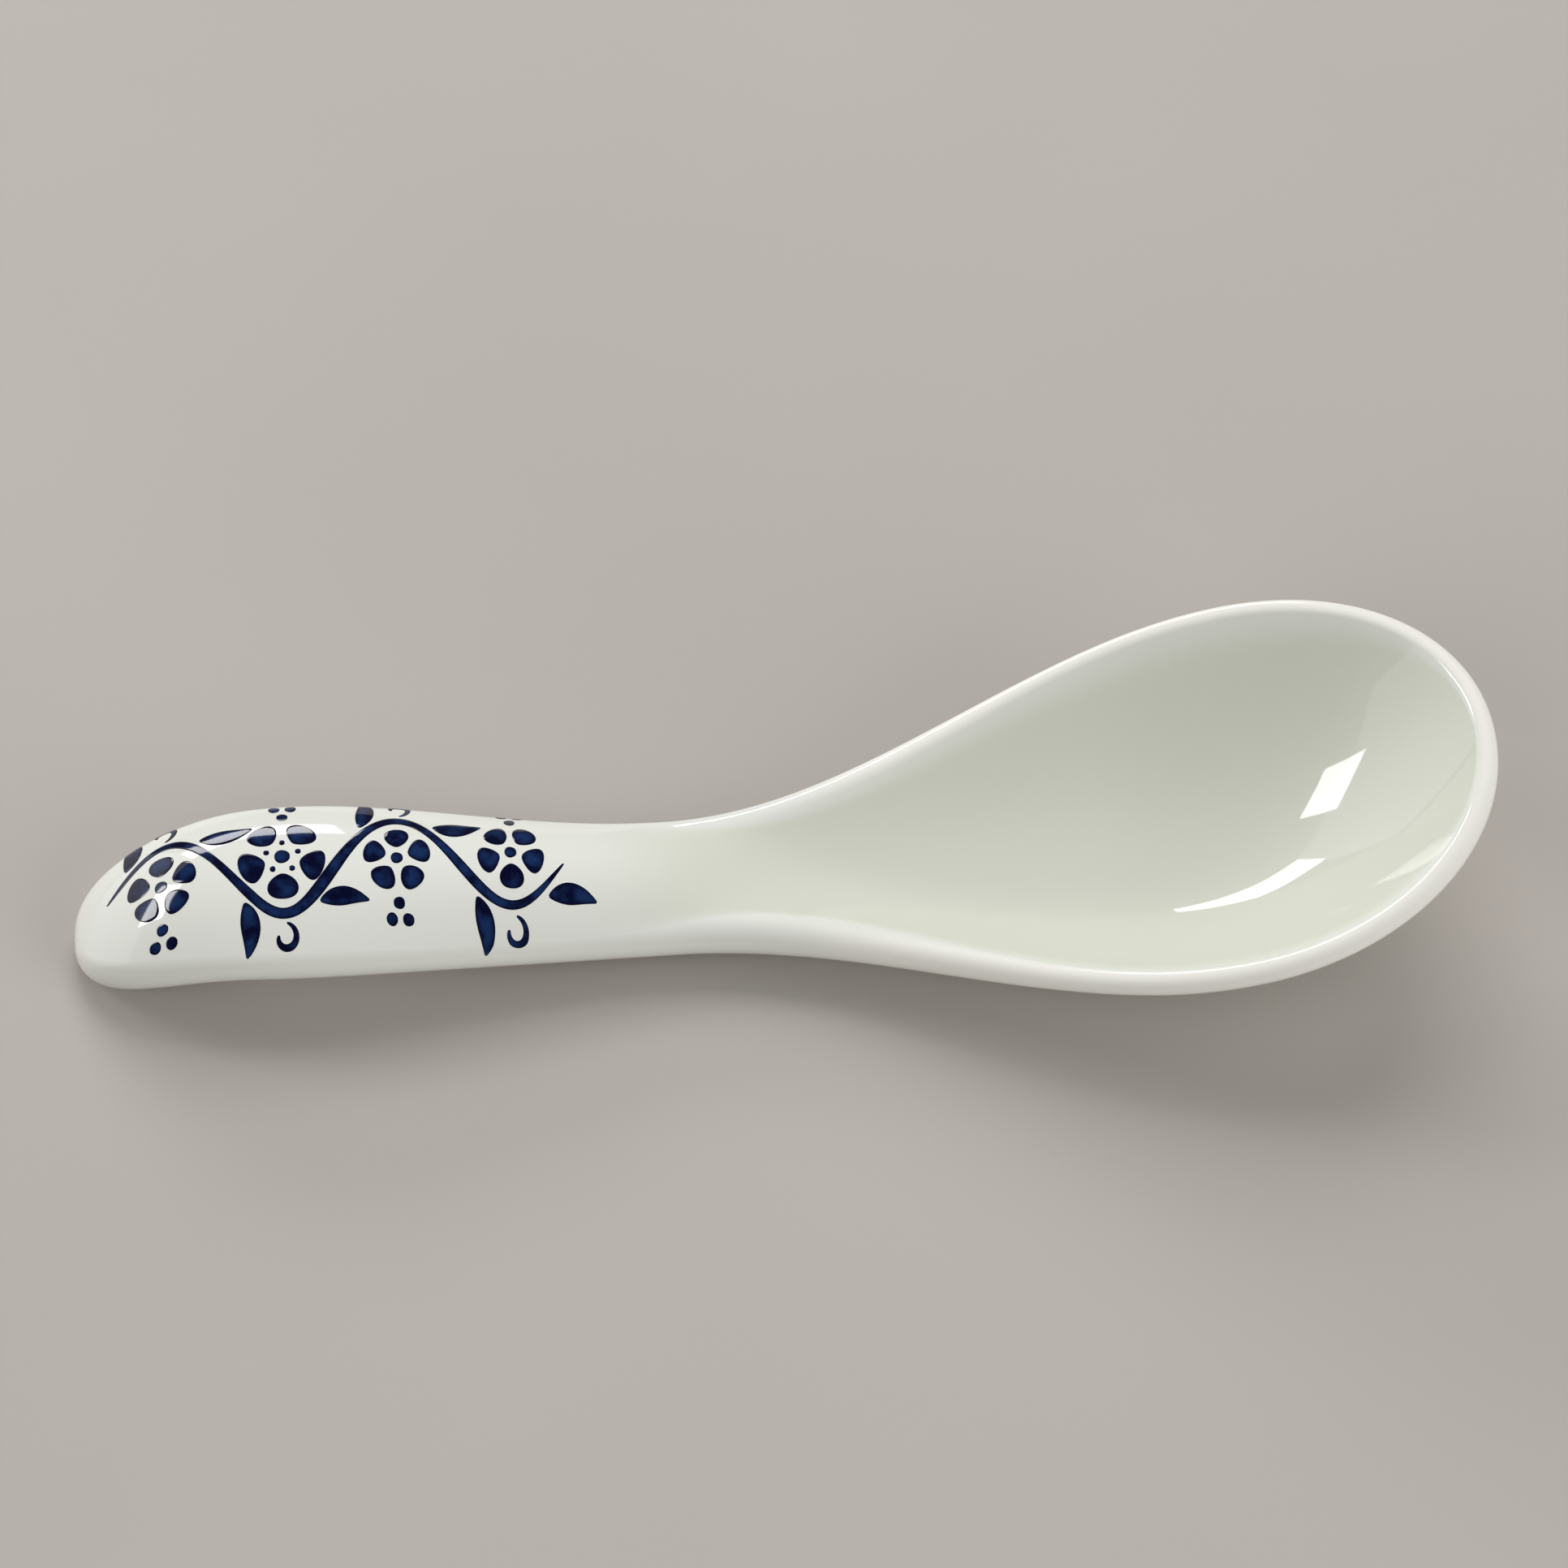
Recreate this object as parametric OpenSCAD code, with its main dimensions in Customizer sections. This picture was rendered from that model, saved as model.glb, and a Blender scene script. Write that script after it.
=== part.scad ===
// Chinese soup spoon in glazed porcelain with a blue vine print on its handle.
// +X runs from the handle's end to the bowl's nose, Z is up, millimetres.
// The origin is on the table, under the middle of the spoon's box.

/* [Outline] */
// Overall width of the bowl
bowl_w = 45; // [36:0.5:60]
// Overall width of the handle at its widest
handle_w = 20; // [15:0.5:28]
// Overall width of the neck between handle and bowl
neck_w = 15.2; // [11:0.2:22]
// From the handle's end to its widest place, where it also crests
handle_end_run = 18.5; // [14:0.5:32]
// From the handle's widest place to the neck
neck_run = 40.5; // [28:0.5:60]
// From the neck to the bowl's widest place
bowl_run = 56; // [40:0.5:80]
// From the bowl's widest place to its nose
nose_run = 25; // [18:0.5:40]
// Length over which the handle's end rounds off
end_round = 28.5; // [12:0.5:40]
// Fullness of the handle's rounded end, 2 is an ellipse
end_fullness = 2.8; // [1.8:0.05:3.5]
// Fullness of the bowl's nose, 2 is an ellipse
nose_fullness = 2.05; // [1.8:0.05:3]

/* [Profile] */
// Height of the middle of the wall at the handle's edges, at the crest
crest_z = 7.8; // [5:0.1:12]
// Rise of the handle's middle above its edges
crown = 2; // [0:0.1:4]
// How late the handle climbs from its heel to the crest, 1 is a quarter of a sine wave
hook_lateness = 0.86; // [0.76:0.02:1.2]
// Height of the middle of the wall at the neck's edges
neck_z = 4.2; // [3:0.1:8]
// Height of the middle of the wall at the bowl's nose
nose_z = 21; // [14:0.5:30]
// Length over which the rim bends up past the neck, before it climbs almost straight
rim_bend = 33; // [10:1:80]
// How far the level floor ends behind the bowl's widest place
floor_back = 11; // [2:0.5:18]
// Length of the level floor
floor_run = 6; // [2:0.5:12]
// How late the floor climbs to the nose, 2 is a parabola
floor_climb = 2.2; // [1.8:0.05:3.5]
// Roundness of the handle's crown across, 2 is a parabola
handle_section = 2; // [1.8:0.05:3]
// Roundness of the bowl across, 2 is a parabola
bowl_section = 2.2; // [1.8:0.05:3.5]

/* [Walls] */
// Thickness of the handle, glaze included
handle_t = 4.5; // [3.4:0.1:6]
// Thickness of the bowl's wall, glaze included
bowl_t = 2.9; // [2.2:0.1:4.2]

/* [Foot] */
// How much is ground off under the bowl to make the flat foot
foot_cut = 0.6; // [0.4:0.05:1]
// How much is ground off under the handle's end to make the flat heel
heel_cut = 0.5; // [0.4:0.05:1]

/* [Glaze] */
// Thickness of the glaze
glaze_t = 0.25; // [0.15:0.01:0.35]
// Height above the table up to which the glaze is wiped off
glaze_line = 0.3; // [0.1:0.05:0.6]

/* [Print] */
// Thickness of the printed film
film_t = 0.08; // [0.04:0.01:0.2]
// Clearance between the film and the glaze under it
film_seat = 0.06; // [0.04:0.01:0.08]
// Clear glaze between the handle's end and the vine's first tip
vine_tip_gap = 4.8; // [4:0.2:8]
// Length of one bend of the vine
vine_bend_l = 11; // [9:0.1:13]
// How far the vine swings to each side, at the crest
vine_swing_l = 5; // [4:0.1:6]
// Place of the vine's middle line across the handle
vine_mid = 0.6; // [-1:0.1:2]
// Width of the vine
vine_w = 1.05; // [0.4:0.05:1.2]
// Diameter of the large blossom
large_blossom_d = 8.4; // [6:0.1:8.6]
// Diameter of the small blossoms
small_blossom_d = 6.6; // [4:0.1:7]
// Clear glaze between the vine and the blossom in its bend
blossom_gap = 0.75; // [0.65:0.05:1.2]
// Diameter of a stamen's head
stamen_d = 0.6; // [0.4:0.05:0.7]
// Length of a leaf
leaf_l = 5; // [3:0.1:5.4]
// Width of a leaf
leaf_w = 1.8; // [0.8:0.1:1.9]
// Radius of a tendril's curl
tendril_r = 1.25; // [0.8:0.05:1.4]
// Width of a tendril
tendril_w = 0.65; // [0.3:0.05:0.7]
// Diameter of a berry
berry_d = 1.1; // [0.6:0.1:1.3]
// Diameter of the ring that a bunch of berries lies on
berry_ring_d = 1.8; // [1.6:0.1:2]
// Clear glaze between a blossom and its berries
berry_gap = 0.3; // [0.2:0.1:1]
// Clear glaze between the vine and what stands off it
print_gap = 0.25; // [0.2:0.05:0.4]

/* [Hidden] */

// Stations along the spoon, measured from the handle's end
neck_at = handle_end_run + neck_run;
wide_at = neck_at + bowl_run;
length = wide_at + nose_run;
floor_end = wide_at - floor_back;
floor_start = floor_end - floor_run;
// The wall's middle sheet ends half a thickness short of both ends
sheet_start = handle_t / 2;
sheet_end = length - bowl_t / 2;
// Heights of the middle sheet at its ends and over the foot
heel_z = handle_t / 2 - heel_cut;
floor_z = bowl_t / 2 - foot_cut;
crest_mid_z = crest_z + crown;

// Cells of the loft: along the handle's rounded end, on to the bowl's widest place and along
// its nose, then across the spoon and round a lip
end_cells = 14;
long_cells = 27;
nose_cells = 13;
across = 12;
lip_cells = 6;
// Cells along a printed stroke, along a dot, and along one bend or tendril
stroke_cells = 5;
dot_cells = 4;
bend_cells = 12;
// Step for measuring slopes
slope_step = 0.001;

porcelain_colour = [0.93, 0.92, 0.88];
glaze_colour = [0.9, 0.91, 0.87];
cobalt_colour = [0.09, 0.13, 0.36];

// Smooth step from 0 to 1 with level ends
function ease(t) = (1 - cos(180 * min(1, max(0, t)))) / 2;
function share(s, from, to) = min(1, max(0, (s - from) / (to - from)));
function blend(a, b, t) = a + (b - a) * t;
function unit(q) = q / norm(q);
// Quarter arch of a superellipse: 1 at u = 0, 0 at u = 1
function arch(u, power) = pow(max(0, 1 - pow(u, power)), 1 / power);

// Wall thickness at station s
function thickness(s) = blend(handle_t, bowl_t, ease(share(s, neck_at, floor_end)));

// Half width of the middle sheet: handle, neck and bowl, with rounded ends
function half_width(s) =
    let (handle = (handle_w - handle_t) / 2)
    let (neck = (neck_w - handle_t) / 2)
    let (bowl = (bowl_w - bowl_t) / 2)
    let (to_neck = (neck - handle) * ease(share(s, handle_end_run, neck_at)))
    let (to_bowl = (bowl - neck) * ease(share(s, neck_at, wide_at)))
    (handle + to_neck + to_bowl)
        * arch(1 - share(s, sheet_start, sheet_start + end_round), end_fullness)
        * arch(share(s, wide_at, sheet_end), nose_fullness);

// Branch of a hyperbola: level at d = 0, then bending up into a straight climb
function swoop(d) = norm([rim_bend, max(0, d)]) - rim_bend;

// Climb of the handle's end: 0 at the heel, 1 at the crest and past it
function hook(s) = pow(sin(90 * share(s, sheet_start, handle_end_run)), hook_lateness);

// Height of the middle sheet along its edges: heel, crest, neck, then up to the nose
function edge_z(s) =
    heel_z
    + (crest_z - heel_z) * hook(s)
    + (neck_z - crest_z) * ease(share(s, handle_end_run, neck_at))
    + (nose_z - neck_z) * swoop(s - neck_at) / swoop(sheet_end - neck_at);

// Height of the middle sheet along the spoon's axis: heel, crest, floor, nose
function middle_z(s) =
    heel_z
    + (crest_mid_z - heel_z) * hook(s)
    + (floor_z - crest_mid_z) * ease(share(s, handle_end_run, floor_start))
    + (nose_z - floor_z) * pow(share(s, floor_end, sheet_end), floor_climb);

// Height of the middle sheet at station s and share v of its half width
function sheet_z(s, v) =
    let (power = blend(handle_section, bowl_section, ease(share(s, neck_at, floor_end))))
    blend(middle_z(s), edge_z(s), pow(abs(v), power));

function sheet(s, v) = [s - length / 2, v * half_width(s), sheet_z(s, v)];

// Directions on the sheet: along the spoon, across it, and square to both
function along(s, v) = (sheet(s + slope_step, v) - sheet(s - slope_step, v)) / (2 * slope_step);
function cross_slope(s, v) =
    (sheet_z(s, v + slope_step) - sheet_z(s, v - slope_step)) / (2 * slope_step);
function normal(s, v) = unit(cross(along(s, v), [0, half_width(s), cross_slope(s, v)]));
// Out of the sheet's edge, on side 1 or -1
function outward(s, side) = side * unit(cross(normal(s, side), along(s, side)));

// Half-round lip of radius r about an edge point, turned from the top face to the underside
function lip_point(edge, up, out, r, turn) = edge + r * (cos(turn) * up + sin(turn) * out);

// One closed ring of the spoon's skin: top face, lip, underside, other lip
function ring(s, r) = concat(
    [for (j = [0:across]) let (v = sin(180 * j / across - 90)) sheet(s, v) + r * normal(s, v)],
    [for (i = [1:lip_cells - 1])
        lip_point(sheet(s, 1), normal(s, 1), outward(s, 1), r, 180 * i / lip_cells)],
    [for (j = [across:-1:0]) let (v = sin(180 * j / across - 90)) sheet(s, v) - r * normal(s, v)],
    [for (i = [lip_cells - 1:-1:1])
        lip_point(sheet(s, -1), normal(s, -1), outward(s, -1), r, 180 * i / lip_cells)]);

// At either end the ring closes to a single lip: this is that lip's place in each ring point
ring_to_lip = concat(
    [for (j = [0:across]) 0],
    [for (i = [1:lip_cells - 1]) i],
    [for (j = [across:-1:0]) lip_cells],
    [for (i = [lip_cells - 1:-1:1]) i]);
ring_size = len(ring_to_lip);

// Slope of the axis, and the lip that closes an end, square to the axis at the station inside it
function axis_slope(s) = (middle_z(s + slope_step) - middle_z(s - slope_step)) / (2 * slope_step);
function end_lip(s, inside, side, r) =
    let (rise = axis_slope(inside))
    let (up = unit([-rise, 0, 1]))
    let (out = side * unit([1, 0, rise]))
    [for (i = [0:lip_cells]) lip_point(sheet(s, 0), up, out, r, 180 * i / lip_cells)];

// The loft's stations, closer together towards both rounded ends
stations = concat(
    [for (i = [1:end_cells]) sheet_start + end_round * (1 - cos(90 * i / end_cells))],
    [for (i = [1:long_cells]) blend(sheet_start + end_round, wide_at, i / long_cells)],
    [for (i = [1:nose_cells - 1]) blend(wide_at, sheet_end, sin(90 * i / nose_cells))]);

// Two triangles of a cell, without those that have lost a side
function cell(a, b, c, d) = concat(a == b ? [] : [[a, b, c]], c == d ? [] : [[a, c, d]]);

// The spoon's whole form, with its faces set in by inset
module spoon_form(inset) {
    last = len(stations) - 1;
    heel_lip = end_lip(sheet_start, stations[0], -1, handle_t / 2 - inset);
    rings = [for (s = stations) ring(s, thickness(s) / 2 - inset)];
    nose_lip = end_lip(sheet_end, stations[last], 1, bowl_t / 2 - inset);
    points = concat(heel_lip, [for (r = rings) each r], nose_lip);
    rings_from = len(heel_lip);
    nose_from = rings_from + len(rings) * ring_size;
    function place(i, j) =
        let (k = j % ring_size)
        i == 0 ? ring_to_lip[k]
        : i > len(rings) ? nose_from + ring_to_lip[k]
        : rings_from + (i - 1) * ring_size + k;
    faces = [for (i = [0:len(rings)], j = [0:ring_size - 1])
        each cell(place(i, j), place(i, j + 1), place(i + 1, j + 1), place(i + 1, j))];
    polyhedron(points, faces, convexity = 6);
}

// All space under height z
module under(z) {
    margin = 10;
    translate([-length / 2 - margin, -bowl_w / 2 - margin, z - margin])
        cube([length + 2 * margin, bowl_w + 2 * margin, margin]);
}

// The fired clay: bowl, neck and handle in one piece, ground flat at foot and heel
module porcelain_body() {
    color(porcelain_colour)
        difference() {
            spoon_form(glaze_t);
            under(0);
        }
}

// The glaze all round the clay, wiped off near the table
module glaze_coat() {
    color(glaze_colour)
        difference() {
            spoon_form(0);
            spoon_form(glaze_t);
            under(glaze_line);
        }
}

// A point of the handle's glazed face: a along from its end, b across from its axis.
// Past the sheet's edge, b runs on round the lip.
function on_handle(a, b, lift) =
    let (w = half_width(a))
    let (r = thickness(a) / 2)
    let (side = b < 0 ? -1 : 1)
    abs(b) <= w
        ? sheet(a, b / w) + (r + lift) * normal(a, b / w)
        : lip_point(sheet(a, side), normal(a, side), outward(a, side), r + lift,
                    (abs(b) - w) / r * 180 / PI);

// A stroke is a list of rows [middle, sideways half width] that is pointed at both ends.
// Every row gives a few points on the film's face and as many under it.
face_points = 3;
row_points = 2 * face_points;
function stroke_points(rows) =
    [for (row = rows, lift = [film_seat + film_t, film_seat], side = [-1, 0, 1])
        let (q = row[0] + side * row[1])
        on_handle(q[0], q[1], lift)];
// Triangles between row i and the next: face, underside and the two edges
function stroke_cell(n, i, at) =
    let (top = at + row_points * i)
    let (low = top + face_points)
    let (far = face_points - 1)
    let (next_top = top + row_points)
    let (next_low = low + row_points)
    concat(
        [for (j = [0:far - 1], up = [true, false])
            let (a = (up ? top : low) + j)
            let (b = a + row_points)
            let (first = i == 0 ? [] : [[a, b + 1, a + 1]])
            let (last = i == n - 1 ? [] : [[a, b, b + 1]])
            each [for (f = concat(first, last)) up ? f : [f[0], f[2], f[1]]]],
        [[top, low, next_low], [top, next_low, next_top]],
        [[top + far, next_top + far, next_low + far], [top + far, next_low + far, low + far]]);
function stroke_faces(n, at) = [for (i = [0:n - 1]) each stroke_cell(n, i, at)];

// A node's strokes as one set of separate films
module films(strokes) {
    starts = [for (k = 0, at = 0; k < len(strokes); at = at + row_points * len(strokes[k]), k = k + 1)
        at];
    color(cobalt_colour)
        polyhedron(
            [for (rows = strokes) each stroke_points(rows)],
            [for (k = [0:len(strokes) - 1]) each stroke_faces(len(strokes[k]) - 1, starts[k])],
            convexity = 10);
}

function heading(angle) = [cos(angle), sin(angle)];

// Swell of a stroke from 0 to 1 and back, at share t of its rows, fullest at share full
function swell(t, full) = sin(180 * pow(t, ln(0.5) / ln(full)));

// A round dab: a stroke from one point along a heading, with its rows closer at its ends
function dab(from, angle, l, w, full, cells) =
    [for (i = [0:cells])
        let (t = i / cells)
        [from + ease(t) * l * heading(angle), w / 2 * swell(t, full) * heading(angle + 90)]];
function disc(at, d, cells) = dab(at - [d / 2, 0], 0, d, d, 0.5, cells);

// A bowed leaf, pointed at both ends: the share of its length where it is widest, and its bow
// as a share of its length
leaf_full = 0.42;
leaf_bow = 0.1;
function leaf(from, angle, bow_side) =
    [for (i = [0:stroke_cells])
        let (t = i / stroke_cells)
        let (bow = -bow_side * leaf_bow * leaf_l)
        let (middle = [t * leaf_l, bow * sin(180 * t)])
        let (travel = angle + atan2(bow * PI * cos(180 * t), leaf_l))
        [from + middle[0] * heading(angle) + middle[1] * heading(angle + 90),
         leaf_w / 2 * swell(t, leaf_full) * heading(travel + 90)]];

// Egg-shaped petals about a centre disc, sized as shares of the blossom's radius, and the share
// of its rows at which a petal is widest
petals = 5;
petal_w_share = 0.76;
petal_full = 0.58;
centre_share = 0.36;
function blossom(at, d, turn, inner_share) =
    let (r = d / 2)
    concat(
        [for (k = [0:petals - 1])
            let (angle = turn + 360 * k / petals)
            dab(at + inner_share * r * heading(angle), angle, (1 - inner_share) * r,
                petal_w_share * r, petal_full, stroke_cells)],
        [disc(at, centre_share * r, stroke_cells)]);

// The vine swings from side to side, one bend after another, less where the handle is narrower
vine_bends = 4;
vine_taper = 0.4;
function vine_at(turns) =
    let (a = vine_tip_gap + turns * vine_bend_l)
    let (room = half_width(a) / ((handle_w - handle_t) / 2))
    [a, vine_mid + vine_swing_l * room * sin(180 * turns)];
function vine_angle(turns) =
    let (step = vine_at(turns + slope_step) - vine_at(turns - slope_step))
    atan2(step[1], step[0]);
// The side on which a bend bulges, and the middle of its bulge
function bulge(k) = k % 2 == 0 ? 1 : -1;
function bulge_at(k) = vine_at(k + 0.5);

module vine_print() {
    n = vine_bends * bend_cells;
    films([[for (i = [0:n])
        let (turns = i / bend_cells)
        [vine_at(turns),
         vine_w / 2 * pow(sin(180 * i / n), vine_taper) * heading(vine_angle(turns) + 90)]]]);
}

// Each bend holds one blossom inside its bulge
large_bend = 1;
small_bends = [0, 2, 3];
function blossom_d(k) = k == large_bend ? large_blossom_d : small_blossom_d;
function blossom_at(k) =
    bulge_at(k) - [0, bulge(k) * (vine_w / 2 + blossom_gap + blossom_d(k) / 2)];

// The large blossom also has a ring of stamens between its petals and its centre
large_inner_share = 0.42;
stamen_ring_share = 0.38;
module large_blossom_print() {
    at = blossom_at(large_bend);
    turn = 90 * bulge(large_bend);
    stamens = [for (k = [0:petals - 1])
        let (angle = turn + 360 * (k + 0.5) / petals)
        disc(at + stamen_ring_share * large_blossom_d / 2 * heading(angle), stamen_d, dot_cells)];
    films(concat(blossom(at, large_blossom_d, turn, large_inner_share), stamens));
}

small_inner_share = 0.34;
module small_blossom_print() {
    films([for (k = small_bends)
        each blossom(blossom_at(k), small_blossom_d, 90 * bulge(k), small_inner_share)]);
}

// Two leaves stand off the outside of each bend, at these shares of it
leaf_places = [0.17, 0.7];
leaf_spread = 40;
module leaf_print() {
    films([for (k = [0:vine_bends - 1], place = leaf_places)
        let (angle = vine_angle(k + place) + bulge(k) * leaf_spread)
        let (clear = (vine_w / 2 + print_gap) / sin(leaf_spread))
        leaf(vine_at(k + place) + clear * heading(angle), angle, bulge(k))]);
}

// A tendril curls on the outside of each bulge, growing tighter towards its tip
tendril_turn = 300;
tendril_tighten = 0.55;
module tendril_print() {
    films([for (k = [0:vine_bends - 1])
        let (side = bulge(k))
        let (middle = bulge_at(k) + [0, side * (vine_w / 2 + print_gap + tendril_r)])
        [for (i = [0:bend_cells])
            let (t = i / bend_cells)
            let (angle = side * (tendril_turn * t - 90))
            [middle + tendril_r * (1 - tendril_tighten * t) * heading(angle),
             -side * tendril_w / 2 * sqrt(sin(180 * t)) * heading(angle)]]]);
}

// Three berries hang beyond each blossom
berries = 3;
module berry_print() {
    films([for (k = [0:vine_bends - 1], j = [0:berries - 1])
        let (drop = blossom_d(k) / 2 + berry_gap + berry_d / 2 + berry_ring_d / 2)
        let (middle = blossom_at(k) - [0, bulge(k) * drop])
        let (angle = 90 * bulge(k) + 360 * j / berries)
        disc(middle + berry_ring_d / 2 * heading(angle), berry_d, dot_cells)]);
}

porcelain_body();
glaze_coat();
vine_print();
tendril_print();
leaf_print();
large_blossom_print();
small_blossom_print();
berry_print();
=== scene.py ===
# %% [markdown]
# A glazed porcelain soup spoon with a blue print on its handle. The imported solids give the
# place and size of every piece, and this lesson gives each one its smooth skin and its finish.
# All lengths below are in millimetres and turn into metres where a mesh is made.

# %% Load the frame
import math

import bpy
import numpy as np
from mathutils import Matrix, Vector


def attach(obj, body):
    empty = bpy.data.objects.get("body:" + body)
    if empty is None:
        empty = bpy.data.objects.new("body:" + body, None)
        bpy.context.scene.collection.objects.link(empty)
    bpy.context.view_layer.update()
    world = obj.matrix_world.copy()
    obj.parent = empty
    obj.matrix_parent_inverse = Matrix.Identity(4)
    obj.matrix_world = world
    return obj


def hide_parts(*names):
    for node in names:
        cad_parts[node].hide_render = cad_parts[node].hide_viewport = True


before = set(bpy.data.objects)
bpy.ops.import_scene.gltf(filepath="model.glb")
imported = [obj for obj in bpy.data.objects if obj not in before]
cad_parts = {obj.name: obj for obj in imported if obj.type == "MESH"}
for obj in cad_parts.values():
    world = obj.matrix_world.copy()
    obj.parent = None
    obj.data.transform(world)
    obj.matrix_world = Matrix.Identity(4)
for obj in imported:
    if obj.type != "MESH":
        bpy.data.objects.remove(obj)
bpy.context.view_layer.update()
MM = 0.001

# %% [markdown]
# The camera comes first, because every later choice is judged through it. It looks down at the
# spoon from a little more than half a metre away, with a long lens, so the handle and the bowl
# keep nearly the same scale. It aims at a point just behind the middle of the spoon.

# %% Camera
CAMERA_AIM = np.array([1.24, 9.16, 7.88])
CAMERA_DISTANCE = 525.5
CAMERA_ELEVATION = math.radians(53.91)
CAMERA_TURN = math.radians(4.57)
CAMERA_LENS = 120.9


def view_direction(turn, elevation):
    """Unit vector of a view: turned in plan from +Y towards +X, then down by the elevation."""
    level = math.cos(elevation)
    return np.array([math.sin(turn) * level, math.cos(turn) * level, -math.sin(elevation)])


look = view_direction(CAMERA_TURN, CAMERA_ELEVATION)
camera = bpy.data.objects.new("camera", bpy.data.cameras.new("camera"))
camera.data.lens = CAMERA_LENS
camera.location = (CAMERA_AIM - CAMERA_DISTANCE * look) * MM
camera.rotation_euler = Vector(look).to_track_quat("-Z", "Y").to_euler()
bpy.context.scene.collection.objects.link(camera)
bpy.context.scene.camera = camera
print("camera stands at", np.round(np.array(camera.location) / MM, 1).tolist(), "mm")

# %% [markdown]
# The spoon is one wall that changes its shape: a crowned handle that hooks down to the table, a
# narrow neck, and a bowl like half an egg. A modeller could sculpt it from a cage. Here the wall's
# middle is a sheet that a few curves describe, because the glaze, the clay and the print all have
# to follow the very same sheet. Stations are measured along the spoon from the handle's end. A run
# is a length along it, and a fullness, a section or a climb is the power of a curve.

# %% Driving sizes of the spoon
BOWL_W, HANDLE_W, NECK_W = 45.0, 20.0, 15.2
HANDLE_END_RUN, NECK_RUN, BOWL_RUN, NOSE_RUN = 18.5, 40.5, 56.0, 25.0
END_ROUND, END_FULLNESS, NOSE_FULLNESS = 28.5, 2.8, 2.05
CREST_Z, CROWN, NECK_Z, NOSE_Z = 7.8, 2.0, 4.2, 21.0
HOOK_LATENESS = 0.86
RIM_BEND, FLOOR_BACK, FLOOR_RUN, FLOOR_CLIMB = 33.0, 11.0, 6.0, 2.2
HANDLE_SECTION, BOWL_SECTION = 2.0, 2.2
HANDLE_T, BOWL_T, RIM_T = 4.5, 2.9, 2.4
RIM_POWER = 4
FOOT_CUT, HEEL_CUT = 0.6, 0.5
GLAZE_T, GLAZE_LINE = 0.25, 0.3

NECK_AT = HANDLE_END_RUN + NECK_RUN
WIDE_AT = NECK_AT + BOWL_RUN
LENGTH = WIDE_AT + NOSE_RUN
FLOOR_END = WIDE_AT - FLOOR_BACK
FLOOR_START = FLOOR_END - FLOOR_RUN
SHEET_START, SHEET_END = HANDLE_T / 2, LENGTH - RIM_T / 2
HEEL_Z, FLOOR_Z = HANDLE_T / 2 - HEEL_CUT, BOWL_T / 2 - FOOT_CUT
CREST_MID_Z = CREST_Z + CROWN
print("spoon is", LENGTH, "mm long; its neck is", NECK_AT, "mm from the handle's end")

# %% [markdown]
# Each curve of the sheet is a short function of the station: a wall thickness, a half width, a
# height of the edges and a height along the axis. Half cosine waves join most runs, because they
# start and end level, so no crease shows between handle, neck and bowl. The bowl's wall is thinner
# at its rim than on its floor.


# %% Curves of the sheet
def share(s, start, end):
    """How far s has come from start to end, kept between 0 and 1."""
    return np.clip((s - start) / (end - start), 0, 1)


def ease(t):
    """Half a cosine wave: 0 to 1 with level ends."""
    return (1 - np.cos(np.pi * np.clip(t, 0, 1))) / 2


def arch(u, power):
    """Quarter of a superellipse: 1 at u = 0, falling to 0 at u = 1."""
    return np.maximum(0, 1 - u ** power) ** (1 / power)


def swoop(d):
    """Branch of a hyperbola: level at d = 0, then bending up into a straight climb."""
    return np.hypot(RIM_BEND, np.maximum(0, d)) - RIM_BEND


def thickness(s, v):
    """Wall thickness: the handle's, easing to the bowl's, which thins by a power towards its rim."""
    inside = (1 - np.abs(v) ** RIM_POWER) * (1 - share(s, WIDE_AT, SHEET_END) ** RIM_POWER)
    bowl = RIM_T + (BOWL_T - RIM_T) * inside
    return HANDLE_T + (bowl - HANDLE_T) * ease(share(s, NECK_AT, FLOOR_END))


def half_width(s):
    """Half width of the sheet: handle, eased to neck, eased to bowl, with both ends rounded off."""
    handle, neck, bowl = (HANDLE_W - HANDLE_T) / 2, (NECK_W - HANDLE_T) / 2, (BOWL_W - RIM_T) / 2
    width = handle + (neck - handle) * ease(share(s, HANDLE_END_RUN, NECK_AT))
    width = width + (bowl - neck) * ease(share(s, NECK_AT, WIDE_AT))
    width = width * arch(1 - share(s, SHEET_START, SHEET_START + END_ROUND), END_FULLNESS)
    return width * arch(share(s, WIDE_AT, SHEET_END), NOSE_FULLNESS)


def hook(s):
    """Climb from the heel to the crest: a quarter sine wave, which a power below 1 makes earlier."""
    return np.sin(np.pi / 2 * share(s, SHEET_START, HANDLE_END_RUN)) ** HOOK_LATENESS


def edge_z(s):
    """Height of the sheet's edges: heel, crest, neck, then up to the nose."""
    fall = ease(share(s, HANDLE_END_RUN, NECK_AT))
    climb = swoop(s - NECK_AT) / swoop(SHEET_END - NECK_AT)
    return (HEEL_Z + (CREST_Z - HEEL_Z) * hook(s) + (NECK_Z - CREST_Z) * fall
            + (NOSE_Z - NECK_Z) * climb)


def middle_z(s):
    """Height of the sheet along the spoon's axis: heel, crest, floor, nose."""
    fall = ease(share(s, HANDLE_END_RUN, FLOOR_START))
    climb = share(s, FLOOR_END, SHEET_END) ** FLOOR_CLIMB
    return (HEEL_Z + (CREST_MID_Z - HEEL_Z) * hook(s) + (FLOOR_Z - CREST_MID_Z) * fall
            + (NOSE_Z - FLOOR_Z) * climb)


print("neck is", round(float(2 * half_width(NECK_AT) + HANDLE_T), 2), "mm wide over its lips")

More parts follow.
